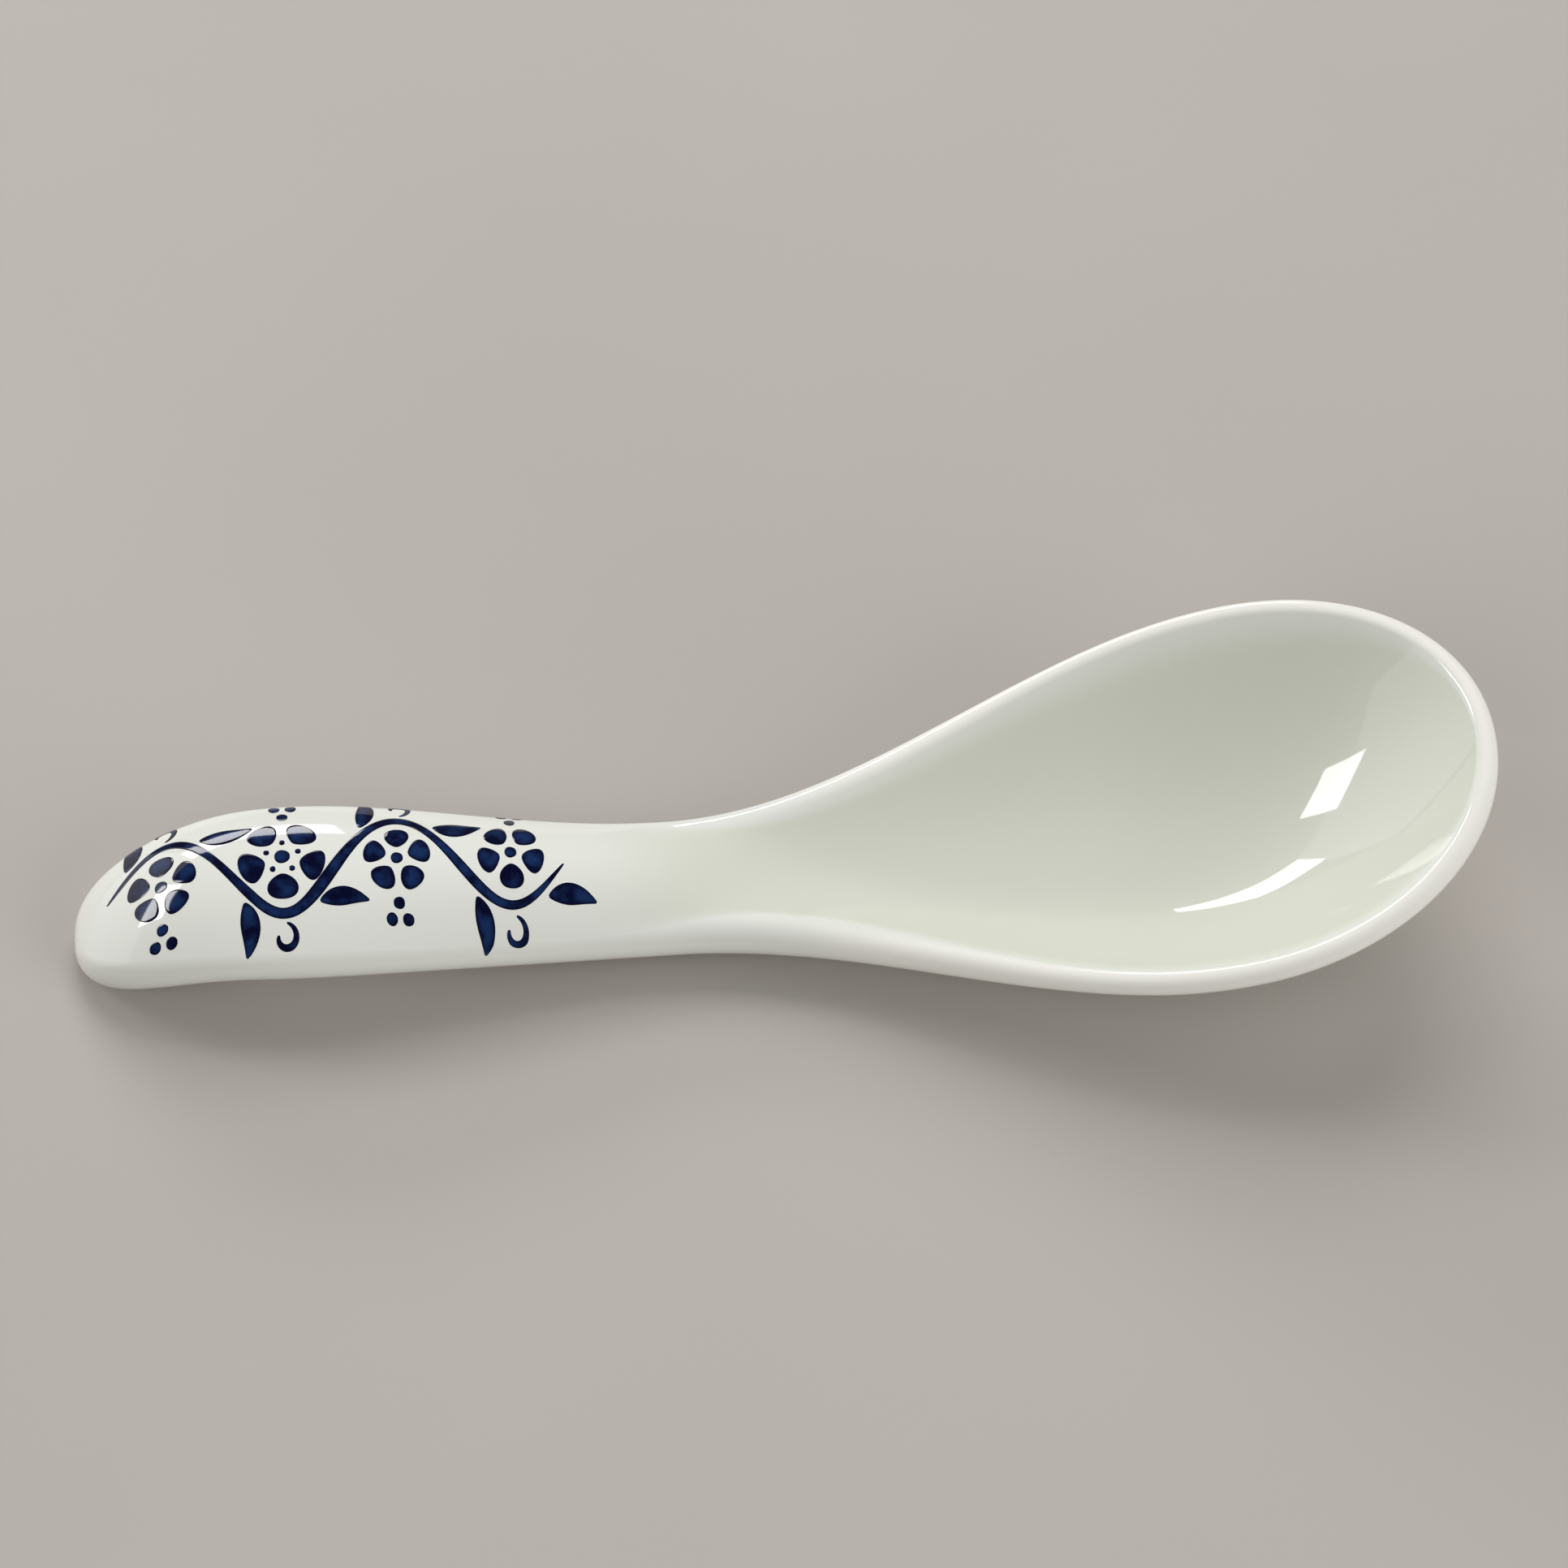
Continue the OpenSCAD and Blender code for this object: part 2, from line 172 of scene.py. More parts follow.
# %% [markdown]
# A point of the skin needs three numbers: the station s, the place v across the sheet from -1 to
# 1, and the turn round the lip, where 0 is the top face and half a turn is the underside. With
# these, one formula gives the bowl's inside, its rolled lip and its underside without a seam.

# %% Skin of the spoon
SLOPE_STEP = 0.001


def sheet(s, v):
    """Point of the middle sheet: a power curve across, from the axis height to the edge height."""
    power = HANDLE_SECTION + (BOWL_SECTION - HANDLE_SECTION) * ease(share(s, NECK_AT, FLOOR_END))
    z = middle_z(s) + (edge_z(s) - middle_z(s)) * np.abs(v) ** power
    return np.stack(np.broadcast_arrays(s - LENGTH / 2, v * half_width(s), z), axis=-1)


def unit(vectors):
    """Vectors scaled to length 1."""
    return vectors / np.linalg.norm(vectors, axis=-1, keepdims=True)


def skin(s, v, turn, lift=0.0):
    """Sheet point plus half the wall and the lift, towards the normal turned round the lip."""
    along = sheet(s + SLOPE_STEP, v) - sheet(s - SLOPE_STEP, v)
    across = sheet(s, v + SLOPE_STEP) - sheet(s, v - SLOPE_STEP)
    normal = unit(np.cross(along, across))
    outward = np.sign(v)[..., None] * unit(np.cross(normal, along))
    reach = np.asarray(thickness(s, v) / 2 + lift)[..., None]
    return sheet(s, v) + reach * (np.cos(turn)[..., None] * normal + np.sin(turn)[..., None] * outward)


def end_lip(s, inside, side, turn, lift):
    """The single half-round lip that closes an end, square to the axis there."""
    rise = (middle_z(inside + SLOPE_STEP) - middle_z(inside - SLOPE_STEP)) / (2 * SLOPE_STEP)
    up, out = unit(np.array([-rise, 0, 1.0])), side * unit(np.array([1.0, 0, rise]))
    reach = thickness(s, 1.0) / 2 + lift
    return sheet(s, 0.0) + reach * (np.cos(turn)[:, None] * up + np.sin(turn)[:, None] * out)


def stations(end_cells, long_cells, nose_cells):
    """Stations along the spoon, crowding towards both rounded ends as a cosine does."""
    start = SHEET_START + END_ROUND
    end = start - END_ROUND * np.cos(np.pi / 2 * np.arange(1, end_cells + 1) / end_cells)
    long = np.linspace(start, WIDE_AT, long_cells + 1)[1:]
    nose = np.sin(np.pi / 2 * np.arange(1, nose_cells) / nose_cells)
    return np.concatenate([end, long, WIDE_AT + (SHEET_END - WIDE_AT) * nose])


def ring(across_cells, lip_cells):
    """Places v and turns of one lap of the skin: top face, lip, underside, other lip."""
    face = np.sin(np.linspace(-np.pi / 2, np.pi / 2, across_cells + 1))
    roll = np.linspace(0, np.pi, lip_cells + 1)[1:-1]
    v = np.concatenate([face, np.ones_like(roll), face[::-1], -np.ones_like(roll)])
    turn = np.concatenate([0 * face, roll, 0 * face + np.pi, roll[::-1]])
    return v, turn


def closed_faces(rows):
    """Four-sided faces between rows of point numbers, and triangles where a side closed up."""
    ahead = np.roll(rows, -1, axis=1)
    quads = np.stack([rows[:-1], rows[1:], ahead[1:], ahead[:-1]], axis=-1).reshape(-1, 4)
    first, second = quads[:, 0] == quads[:, 3], quads[:, 1] == quads[:, 2]
    whole = quads[~first & ~second].tolist()
    narrow = quads[first & ~second][:, :3].tolist() + quads[second & ~first][:, [0, 1, 3]].tolist()
    return whole + narrow


floor_point = skin(FLOOR_END, np.array(0.0), np.array(0.0))
print("skin point on the bowl's floor:", np.round(floor_point, 2).tolist())

# %% [markdown]
# Every piece becomes a mesh in the same way, so one helper does it. It hides the imported solid that
# the piece stands for and shades the faces smooth. The enclosed volume is worked out too, because a
# positive one proves that all faces point outwards.


# %% Piece maker
def enclosed_volume(points, faces):
    """Sum of the signed tetrahedra between the origin and the faces, each cut into triangles."""
    fours = np.array([face for face in faces if len(face) == 4]).reshape(-1, 4)
    threes = np.array([face for face in faces if len(face) == 3]).reshape(-1, 3)
    corners = points[np.concatenate([fours[:, :3], fours[:, [0, 2, 3]], threes])]
    signed = np.einsum("ij,ij->i", corners[:, 0], np.cross(corners[:, 1], corners[:, 2]))
    return float(signed.sum() / 6)


def make_piece(name, node, slot, points, faces, **attributes):
    """Mesh object of the points and faces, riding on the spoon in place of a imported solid."""
    mesh = bpy.data.meshes.new(name)
    mesh.from_pydata((points * MM).tolist(), [], faces)
    mesh.shade_smooth()
    for key, values in attributes.items():
        mesh.attributes.new(key, "FLOAT", "POINT").data.foreach_set("value", values.astype(np.float32))
    piece = bpy.data.objects.new(name, mesh)
    bpy.context.scene.collection.objects.link(piece)
    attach(piece, "root")
    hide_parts(node)
    triangles = sum(len(face) - 2 for face in faces)
    volume = round(enclosed_volume(points, faces), 2)
    print(name, "has", triangles, "triangles and encloses", volume, "mm3")
    return piece


# %% [markdown]
# Clay and glaze both need the skin of the whole spoon, so one function makes it, as fine as it is
# asked to. With the points it gives a value for the glaze's tint: above 0 on the top face of the
# bowl, where glaze pools and painted shade darkens the hollow, 0 on the handle, and below 0 on the
# bowl's lip, where the glaze runs thin and painted light brightens it.

# %% Whole skin
POOL_AND_SHADE_RUN = (40.0, 74.0)
POOL_SHADE_EDGE_POWER = 8


def spoon_skin(cells, lift_at):
    """Closed skin of the whole spoon: laps of the ring at every station, and one lip at each end.

    cells counts the end, long, nose, across and lip cells. lift_at gives the lift for the points
    of the plain skin, so that a coat can thin out where it nears the table. The tint value eases in
    towards the bowl, where it stands for glaze pooling and painted shade, fades by a power towards
    its edges, and falls as a sine round its lip, where it stands for thin glaze and painted light.
    """
    s = stations(*cells[:3])
    v, turn = ring(*cells[3:])
    lip = np.linspace(0, np.pi, cells[4] + 1)
    plain = skin(s[:, None], v[None, :], turn[None, :])
    laps = skin(s[:, None], v[None, :], turn[None, :], lift_at(plain))
    heel = (SHEET_START, s[0], -1, lip)
    nose = (SHEET_END, s[-1], 1, lip)
    heel_lip = end_lip(*heel, lift_at(end_lip(*heel, 0.0))[:, None])
    nose_lip = end_lip(*nose, lift_at(end_lip(*nose, 0.0))[:, None])
    points = np.concatenate([laps.reshape(-1, 3), heel_lip, nose_lip])
    rows = np.arange(laps.shape[0] * laps.shape[1]).reshape(laps.shape[:2])
    on_lip = np.round(turn / np.pi * cells[4]).astype(int) + rows.size
    rows = np.concatenate([on_lip[None], rows, on_lip[None] + len(lip)])
    # Glaze pooling on the bowl's top face, which the finish also darkens as painted shade.
    top = np.maximum(0, np.cos(turn)) * (1 - v ** POOL_SHADE_EDGE_POWER)
    pool_shade = ease(share(s, *POOL_AND_SHADE_RUN))[:, None] * top
    # Round the bowl's lip the value falls below 0: thin glaze, which the finish also whitens as
    # painted light.
    depth = pool_shade - ease(share(s, NECK_AT, FLOOR_START))[:, None] * np.sin(turn)
    return points, closed_faces(rows), np.concatenate([depth.reshape(-1), 0 * lip, -np.sin(lip)])


print("glaze starts to pool", POOL_AND_SHADE_RUN[0], "mm along the spoon, and is deep from", POOL_AND_SHADE_RUN[1], "mm")

# %% [markdown]
# The clay is the body of the spoon. Almost all of it hides under the glaze: only the foot under
# the bowl and the heel under the handle's end are bare, ground flat where they stand on the table.
# A modifier could cut them off. A soft floor under the skin gives the same flats with a worn edge.

# %% Clay body
CLAY_CELLS = (44, 110, 44, 56, 14)
GROUND_EDGE = 0.04


def above(z, floor, edge):
    """Soft maximum of z and a floor: a hyperbola that bends from one to the other over the edge."""
    return floor + (z - floor + np.hypot(z - floor, edge)) / 2


def even(lift):
    """Function for spoon_skin that gives every point of the skin the same lift."""
    return lambda plain: np.full(plain.shape[:-1], lift)


clay_points, clay_faces, _ = spoon_skin(CLAY_CELLS, even(-GLAZE_T))
clay_points[:, 2] = above(clay_points[:, 2], 0.0, GROUND_EDGE)
clay_points[:, 2] -= clay_points[:, 2].min()
clay = make_piece("clay_body", "porcelain_body", "porcelain", clay_points, clay_faces)

# %% [markdown]
# The glaze is a coat of glass a quarter of a millimetre thick. It is wiped off near the table
# before firing, so its edge rounds down to the bare clay. A solidify modifier could make the coat.
# Two skins do it here, an outer and an inner one turned inside out, because the outer one then
# sinks into the clay wherever the coat was wiped. The wiped line wavers a little, as by hand.

# %% Glaze coat
OUTER_CELLS, INNER_CELLS = (62, 150, 62, 80, 20), (36, 90, 36, 44, 12)
WIPE_RUN = 0.22
WAVER, WAVER_ALONG, WAVER_ACROSS, WAVER_SLANT = 0.05, 0.9, 1.3, 0.4
SUNK = 0.05
INNER_SUNK = 0.09


def coat(plain):
    """Lift of the glaze: none above the wiped line, easing down under the clay's face below it.

    The line wavers by a sine along the spoon times a slanting cosine across it.
    """
    x, y, z = plain[..., 0], plain[..., 1], plain[..., 2]
    waver = WAVER * np.sin(WAVER_ALONG * x) * np.cos(WAVER_ACROSS * y + WAVER_SLANT * x)
    covered = ease((z - GLAZE_LINE + WIPE_RUN / 2 + waver) / WIPE_RUN)
    return -(1 - covered) * (GLAZE_T + SUNK)


outer_points, outer_faces, outer_depth = spoon_skin(OUTER_CELLS, coat)
outer_points[:, 2] = above(outer_points[:, 2], SUNK, GROUND_EDGE)
inner_points, inner_faces, inner_depth = spoon_skin(INNER_CELLS, even(-GLAZE_T - INNER_SUNK))
inner_points[:, 2] = above(inner_points[:, 2], INNER_SUNK, GROUND_EDGE)
glaze_points = np.concatenate([outer_points, inner_points])
turned_faces = [[corner + len(outer_points) for corner in face[::-1]] for face in inner_faces]
glaze = make_piece("glaze_skin", "glaze_coat", "glaze", glaze_points, outer_faces + turned_faces,
                   depth=np.concatenate([outer_depth, inner_depth]))

# %% [markdown]
# The blue print is drawn on the handle in flat strokes of cobalt, which the kiln melts into the
# glaze. It could be a picture wrapped over the handle. Here each stroke is a thin film with its own
# outline, laid over the skin like a sticker, so it stays sharp at any distance and follows the
# rolled lip. A drawing point is a station along the handle and a distance across it.

# %% Strokes of the print
FILM_LOW, FILM_HIGH = -0.03, 0.04
PROFILE_CELLS = 12
FLATNESS = 5
FULL_WIDTH = 0.25


def heading(degrees):
    """Unit vectors of the drawing at angles from the handle's length."""
    return np.stack([np.cos(np.radians(degrees)), np.sin(np.radians(degrees))], axis=-1)


def on_handle(spot, lift):
    """Skin point of a drawing point: across the top face, then on round the rolled lip."""
    a, b = spot[..., 0], spot[..., 1]
    reach = half_width(a)
    roll = np.maximum(0, np.abs(b) - reach) / (thickness(a, 1.0) / 2)
    return skin(a, np.clip(b / reach, -1, 1), roll, lift)


def film(middle, sideways, tip_power):
    """Closed films of strokes, each given by rows of its middle and its sideways half width.

    The section is a superellipse, flat on top with rounded edges, and the film thins out to a
    point at both ends. The edge value runs from 0 in the middle of a stroke to 1 at its outline,
    and a high tip power keeps it low until close to the ends.
    """
    across = np.cos(np.linspace(0, np.pi, PROFILE_CELLS + 1))
    dome = np.maximum(0, 1 - np.abs(across) ** FLATNESS) ** (1 / FLATNESS)
    across = np.concatenate([across, across[-2:0:-1]])
    dome = np.concatenate([dome, np.zeros(PROFILE_CELLS - 1)])
    count, rows = middle.shape[:2]
    spots = middle[:, 1:-1, None] + sideways[:, 1:-1, None] * across[None, None, :, None]
    full = np.minimum(1, np.linalg.norm(sideways[:, 1:-1], axis=-1) / FULL_WIDTH)
    laps = on_handle(spots, FILM_LOW + (FILM_HIGH - FILM_LOW) * full[..., None] * dome)
    tips = on_handle(middle[:, [0, -1]], FILM_LOW)
    points = np.concatenate([laps.reshape(count, -1, 3), tips], axis=1)
    lap = len(across)
    grid = np.arange((rows - 2) * lap).reshape(rows - 2, lap)
    tip = np.full((1, lap), grid.size)
    faces = closed_faces(np.concatenate([tip, grid, tip + 1]))
    run = np.abs(np.linspace(-1, 1, rows))[1:-1, None] ** tip_power
    edge = 1 - (1 - run) * (1 - across[None] ** 2)
    edge = np.concatenate([edge.reshape(-1), np.ones(2)])
    return points, faces, np.tile(edge, (count, 1))


def make_print(name, node, films):
    """One piece of the print, from several groups of films."""
    points, faces, edges, base = [], [], [], 0
    for group_points, group_faces, group_edges in films:
        for film_points in group_points:
            faces += [[corner + base for corner in face] for face in group_faces]
            base += len(film_points)
        points.append(group_points.reshape(-1, 3))
        edges.append(group_edges.reshape(-1))
    return make_piece(name, node, "cobalt", np.concatenate(points), faces, edge=np.concatenate(edges))


print("print films stand", FILM_HIGH, "mm above the glaze")

# %% [markdown]
# The vine swings from side to side along the handle and carries everything else. Its line is a
# sine wave whose swing follows the handle's width. The stroke swells and thins like the trace of a
# loaded brush: a slow and a quick wave along it change its width.

# %% Vine
VINE_START, VINE_BEND, VINE_SWING, VINE_MID, VINE_W = 4.8, 11.0, 5.0, 0.6, 1.05
VINE_BENDS = 4
VINE_ROWS = 241
VINE_TAPER = 0.4
SLOW_SWELL, SLOW_RATE = 0.12, 17
QUICK_SWELL, QUICK_RATE, QUICK_START = 0.07, 41, 1
LINE_TIP = 40
HANDLE_HALF = (HANDLE_W - HANDLE_T) / 2


def vine_at(turns):
    """Point of the vine after some bends: a sine across, scaled by the handle's local width."""
    a = VINE_START + VINE_BEND * turns
    b = VINE_MID + VINE_SWING * half_width(a) / HANDLE_HALF * np.sin(np.pi * turns)
    return np.stack([a, b], axis=-1)


def vine_angle(turns):
    """Angle of the vine's line, from points a little before and after."""
    step = vine_at(turns + SLOPE_STEP) - vine_at(turns - SLOPE_STEP)
    return np.degrees(np.arctan2(step[..., 1], step[..., 0]))


vine_t = np.linspace(0, 1, VINE_ROWS)
vine_turns = VINE_BENDS * vine_t
slow_wave = SLOW_SWELL * np.sin(SLOW_RATE * vine_t)
quick_wave = QUICK_SWELL * np.sin(QUICK_RATE * vine_t + QUICK_START)
brush = 1 + slow_wave + quick_wave
vine_half = VINE_W / 2 * np.maximum(0, np.sin(np.pi * vine_t)) ** VINE_TAPER * brush
vine_sideways = vine_half[:, None] * heading(vine_angle(vine_turns) + 90)
vine_film = film(vine_at(vine_turns)[None], vine_sideways[None], LINE_TIP)
vine = make_print("vine", "vine_print", [vine_film])

# %% [markdown]
# Blossoms, stamens and berries are all dabs of the brush. A dab starts at a point and grows along
# its heading. Five of them round a centre, fuller towards their outer ends like eggs, make a flower,
# and a dab as wide as it is long makes a dot. Each dab wavers a little, so that neighbours differ.

# %% Blossoms
LARGE_BLOSSOM_D, SMALL_BLOSSOM_D, BLOSSOM_GAP, STAMEN_D = 8.4, 6.6, 0.75, 0.6
PETALS = 5
PETAL_W, PETAL_FULL, CENTRE_D = 0.76, 0.58, 0.36
LARGE_INNER, SMALL_INNER = 0.42, 0.34
STAMEN_AT = 0.38
LARGE_BEND, SMALL_BENDS = 1, (0, 2, 3)
DAB_ROWS = 25
DAB_WAVER, DAB_WAVER_RATE, DAB_WAVER_SHIFT = 0.05, 7, 2.4
DAB_TIP = 2


def swell(t, full):
    """Half a sine wave from 0 to 1 and back, pulled so that it is fullest at share full."""
    wave = np.maximum(0, np.sin(np.pi * t ** (math.log(0.5) / math.log(full))))
    return wave * ((t > 0) & (t < 1))


def dabs(starts, degrees, length, width, full=0.5):
    """Round films: the middle eases along the heading, while the half width swells and shrinks."""
    t = np.linspace(0, 1, DAB_ROWS)
    along, aside = heading(degrees)[:, None], heading(degrees + 90)[:, None]
    shift = DAB_WAVER_SHIFT * np.arange(len(starts))[:, None]
    waver = 1 + DAB_WAVER * np.sin(DAB_WAVER_RATE * t[None] + shift)
    middle = starts[:, None] + (ease(t) * length)[None, :, None] * along
    sideways = (width / 2 * swell(t, full) * waver)[..., None] * aside
    return film(middle, sideways, DAB_TIP)


def dots(centres, diameter):
    """Round films: dabs as wide as they are long."""
    return dabs(centres - [diameter / 2, 0], np.zeros(len(centres)), diameter, diameter)


def bulge(k):
    """Which way the vine bulges in a bend: 1 in even bends, -1 in odd ones."""
    return 1 - 2 * (k % 2)


def blossom_at(k, diameter):
    """Centre of a blossom, in the hollow of a bend and clear of the vine."""
    return vine_at(k + 0.5) - [0, bulge(k) * (VINE_W / 2 + BLOSSOM_GAP + diameter / 2)]


def blossom(k, diameter, inner):
    """Five petals and a centre dot."""
    degrees = 90 * bulge(k) + 360 / PETALS * np.arange(PETALS)
    starts = blossom_at(k, diameter) + inner * diameter / 2 * heading(degrees)
    petals = dabs(starts, degrees, (1 - inner) * diameter / 2, PETAL_W * diameter / 2, PETAL_FULL)
    return [petals, dots(blossom_at(k, diameter)[None], CENTRE_D * diameter / 2)]


stamen_degrees = 90 * bulge(LARGE_BEND) + 360 / PETALS * (np.arange(PETALS) + 0.5)
stamen_reach = STAMEN_AT * LARGE_BLOSSOM_D / 2
stamens = blossom_at(LARGE_BEND, LARGE_BLOSSOM_D) + stamen_reach * heading(stamen_degrees)
large_films = blossom(LARGE_BEND, LARGE_BLOSSOM_D, LARGE_INNER) + [dots(stamens, STAMEN_D)]
large_blossom = make_print("large_blossom", "large_blossom_print", large_films)

small_films = sum([blossom(k, SMALL_BLOSSOM_D, SMALL_INNER) for k in SMALL_BENDS], [])
small_blossoms = make_print("small_blossoms", "small_blossom_print", small_films)

# %% [markdown]
# Berries hang in threes beyond each blossom. They are dots, spread evenly round a small ring whose
# distance follows from the blossom's size, so that the two never touch.

# %% Berries
BERRY_D, BERRY_RING_D, BERRY_GAP = 1.1, 1.8, 0.3
BERRIES = 3


def berries_at(k, diameter):
    """Three berry centres on a small ring, beyond the blossom of a bend."""
    beyond = diameter / 2 + BERRY_GAP + BERRY_D / 2 + BERRY_RING_D / 2
    middle = blossom_at(k, diameter) - [0, bulge(k) * beyond]
    return middle + BERRY_RING_D / 2 * heading(90 * bulge(k) + 360 / BERRIES * np.arange(BERRIES))


blossom_sizes = [LARGE_BLOSSOM_D if k == LARGE_BEND else SMALL_BLOSSOM_D for k in range(VINE_BENDS)]
berry_spots = np.concatenate([berries_at(k, blossom_sizes[k]) for k in range(VINE_BENDS)])
berries = make_print("berries", "berry_print", [dots(berry_spots, BERRY_D)])

# %% [markdown]
# Two leaves spring from the vine on the outer side of each bend, and a tendril curls between them.
# Both are single strokes: a leaf bows a little and is widest before its middle, and a tendril winds
# in on itself and is thin at both ends.

# %% Leaves and tendrils
LEAF_L, LEAF_W, LEAF_SPREAD, LEAF_BOW, LEAF_FULL = 5.0, 1.8, 40.0, 0.1, 0.42
LEAF_PLACES = (0.17, 0.7)
PRINT_GAP = 0.25
TENDRIL_R, TENDRIL_W, TENDRIL_SWEEP, TENDRIL_CLOSE = 1.25, 0.65, 300.0, 0.55
LEAF_ROWS, TENDRIL_ROWS = 33, 61
LEAF_TIP = 12

leaf_turns = np.add.outer(np.arange(VINE_BENDS), LEAF_PLACES).reshape(-1)
leaf_side = bulge(np.floor(leaf_turns))
leaf_degrees = vine_angle(leaf_turns) + leaf_side * LEAF_SPREAD
leaf_off = (VINE_W / 2 + PRINT_GAP) / math.sin(math.radians(LEAF_SPREAD))
leaf_starts = vine_at(leaf_turns) + leaf_off * heading(leaf_degrees)
t = np.linspace(0, 1, LEAF_ROWS)
bow = -leaf_side[:, None] * LEAF_BOW * LEAF_L
leaf_middle = (leaf_starts[:, None] + (t * LEAF_L)[None, :, None] * heading(leaf_degrees)[:, None]
               + (bow * np.sin(np.pi * t))[..., None] * heading(leaf_degrees + 90)[:, None])
travel = leaf_degrees[:, None] + np.degrees(np.arctan2(bow * np.pi * np.cos(np.pi * t), LEAF_L))
leaf_sideways = (LEAF_W / 2 * swell(t, LEAF_FULL))[None, :, None] * heading(travel + 90)
leaves = make_print("leaves", "leaf_print", [film(leaf_middle, leaf_sideways, LEAF_TIP)])

tendril_side = bulge(np.arange(VINE_BENDS))[:, None]
t = np.linspace(0, 1, TENDRIL_ROWS)
tendril_centres = vine_at(np.arange(VINE_BENDS) + 0.5)
tendril_centres[:, 1] += tendril_side[:, 0] * (VINE_W / 2 + PRINT_GAP + TENDRIL_R)
tendril_degrees = tendril_side * (TENDRIL_SWEEP * t - 90)
tendril_reach = (TENDRIL_R * (1 - TENDRIL_CLOSE * t))[None, :, None]
tendril_middle = tendril_centres[:, None] + tendril_reach * heading(tendril_degrees)
tendril_half = TENDRIL_W / 2 * np.sqrt(np.maximum(0, np.sin(np.pi * t)))
tendril_half[[0, -1]] = 0
tendril_sideways = -tendril_side[..., None] * tendril_half[None, :, None] * heading(tendril_degrees)
tendrils = make_print("tendrils", "tendril_print", [film(tendril_middle, tendril_sideways, LINE_TIP)])

# %% [markdown]
# Finishes are node trees. A few small helpers keep them readable. The first starts a finish, the
# second makes a node, sets its fields and either writes or links each of its inputs, and the others
# stand for nodes that come again and again.


# %% Finish helpers
def start_finish(name, piece, **sockets):
    """New material on a piece, with constants written on the shader's own sockets."""
    finish = bpy.data.materials.new(name)
    finish.use_nodes = True
    shader = finish.node_tree.nodes["Principled BSDF"]
    for key, value in sockets.items():
        shader.inputs[key.replace("_", " ")].default_value = value
    piece.data.materials.append(finish)
    return finish.node_tree, shader


def node(tree, kind, inputs=(), **fields):
    """New node: fields are set by name, inputs are written by place or linked from a socket."""
    made = tree.nodes.new(kind)
    for key, value in fields.items():
        setattr(made, key, value)
    for place, value in dict(inputs).items():
        if isinstance(value, bpy.types.NodeSocket):
            tree.links.new(value, made.inputs[place])
        else:
            made.inputs[place].default_value = value
    return made


def object_place(tree):
    """Coordinates of the piece itself, which move with it."""
    return node(tree, "ShaderNodeTexCoord").outputs["Object"]


def carried(tree, name):
    """Value that the mesh carries under a name."""
    return node(tree, "ShaderNodeAttribute", attribute_name=name).outputs["Fac"]


def noise(tree, place, scale, detail):
    """Cloudy values about a half."""
    cloudy = node(tree, "ShaderNodeTexNoise", {"Vector": place, "Scale": scale, "Detail": detail})
    return cloudy.outputs["Fac"]


def fade(tree, value, low, high):
    """Value turned into a smooth step from 0 at low to 1 at high."""
    step = node(tree, "ShaderNodeMapRange", {0: value, 1: low, 2: high},
                interpolation_type="SMOOTHSTEP")
    return step.outputs[0]


def product(tree, first, second):
    """Two values multiplied."""
    return node(tree, "ShaderNodeMath", {0: first, 1: second}, operation="MULTIPLY").outputs[0]


def blend(tree, factor, first, second):
    """Colour between two colours."""
    mix = node(tree, "ShaderNodeMix", {0: factor, 6: first, 7: second}, data_type="RGBA")
    return mix.outputs[2]


def rgba(red, green, blue):
    """Colour with full cover."""
    return (red, green, blue, 1.0)


print("helpers ready for", len(bpy.data.meshes), "meshes")

# %% [markdown]
# The glaze is a clear glass over white clay, so it reflects like glass. It is faintly green where it
# pools deep in the bowl, and darker there too as painted shade in the hollow. It is whiter and
# warmer on the lip, where it runs thin, and brighter there as painted light, the glow of a thin
# porcelain edge. Tiny iron specks and a soft waviness keep it from looking like plastic. The pattern
# reads object coordinates, and the tint value that the mesh carries says where the green glaze and
# painted shade go, and where the painted light on the lip goes.

# %% Glaze finish
# The pooling colour is green glaze darkened by painted shade in the bowl's hollow.
GLAZE_THIN, GLAZE_POOLED_AND_SHADED = rgba(0.85, 0.86, 0.80), rgba(0.735, 0.755, 0.655)
# The rim colour is thin glaze, lightened by painted light: the glow of a thin porcelain edge.
GLAZE_RIM_GLOW, GLAZE_SPECK = rgba(0.945, 0.93, 0.868), rgba(0.30, 0.22, 0.13)
CLOUD_SCALE, CLOUD_DETAIL, CLOUD_SHARE = 45.0, 3.0, 0.5
POOL_SHADE_FADE, TINT_FADE, RIM_FADE = (0.0, 0.9), (0.15, 1.25), (-0.05, -0.6)
SPECK_SCALE, SPECK_SIZE, SPECK_RARITY = 120.0, (0.034, 0.02), (0.92, 0.93)
PEEL_SCALE, PEEL_DETAIL, PEEL_HEIGHT = 420.0, 1.0, 3e-6
GLASS_IOR = 1.5

tree, shader = start_finish("glaze", glaze, Roughness=0.04, IOR=GLASS_IOR)
place = object_place(tree)
depth = carried(tree, "depth")
cloud = noise(tree, place, CLOUD_SCALE, CLOUD_DETAIL)
# Painted shade: deep in the bowl the tint turns greener and darker.
pooled_and_shaded = node(tree, "ShaderNodeMath", {0: cloud, 1: CLOUD_SHARE, 2: fade(tree, depth, *POOL_SHADE_FADE)},
              operation="MULTIPLY_ADD").outputs[0]
tint = blend(tree, fade(tree, pooled_and_shaded, *TINT_FADE), GLAZE_THIN, GLAZE_POOLED_AND_SHADED)
